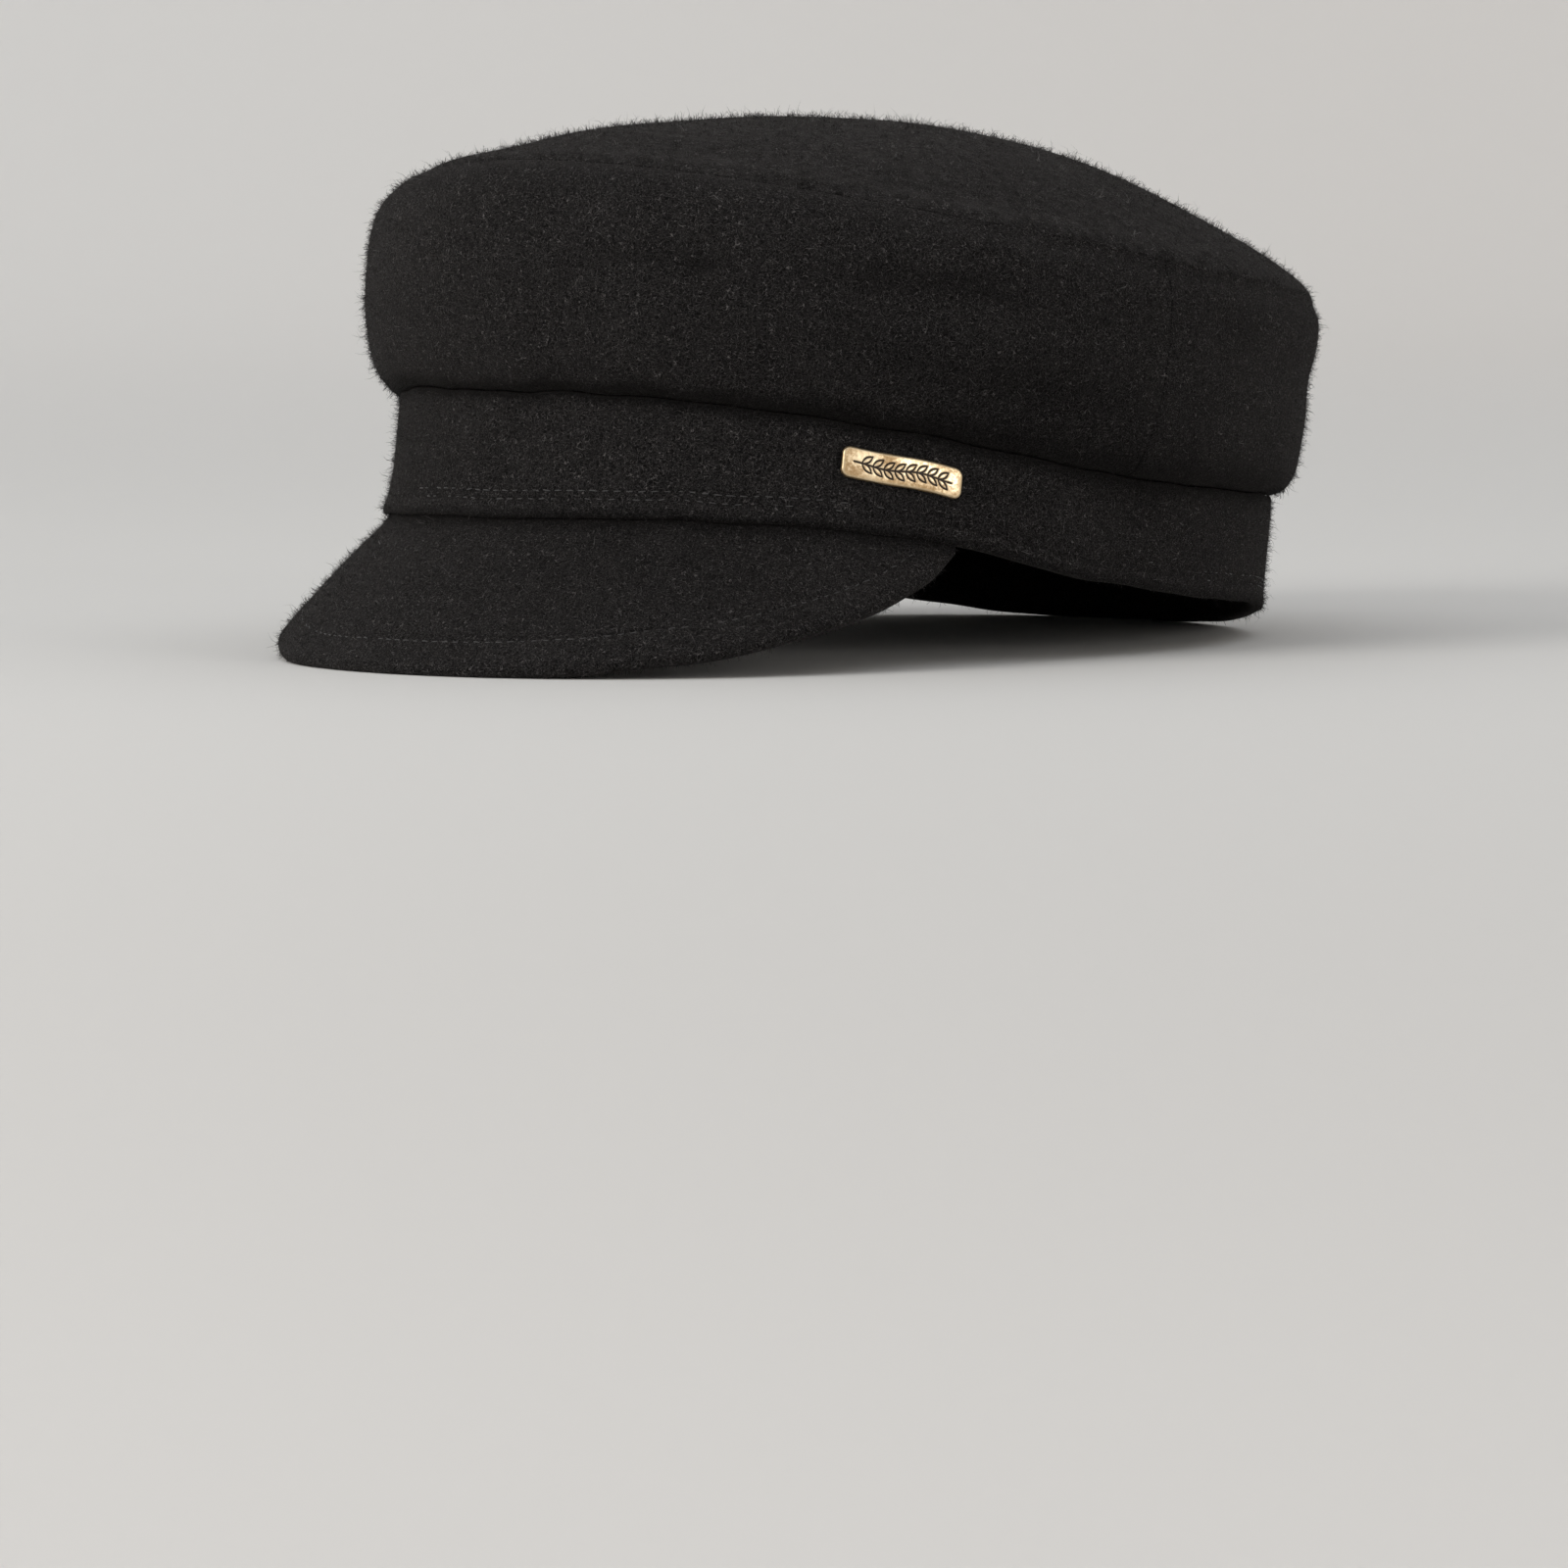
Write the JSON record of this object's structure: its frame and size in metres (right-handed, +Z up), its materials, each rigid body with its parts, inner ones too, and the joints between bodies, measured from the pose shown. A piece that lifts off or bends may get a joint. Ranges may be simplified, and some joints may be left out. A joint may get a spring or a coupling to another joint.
{
  "type": "skipper cap",
  "caption": "Skipper cap of dark wool cloth with a full domed crown, an upright band, a sloping cloth-covered peak and a small brass plate on the band.",
  "frame": {"origin": "centre of the underside of the box round the cap, on the surface that it rests on", "axes": "+Z up, -Y towards the peak, +X towards the wearer's left"},
  "size_m": [0.1868, 0.2524, 0.1131],
  "materials": {
    "wool_cloth": "matt, short nap",
    "antique_brass": "worn satin, patina"
  },
  "bodies": {
    "root": {"crown_tip": "wool_cloth", "crown_front": "wool_cloth", "crown_back": "wool_cloth", "band": "wool_cloth", "peak": "wool_cloth", "badge": "antique_brass"}
  },
  "joints": []
}
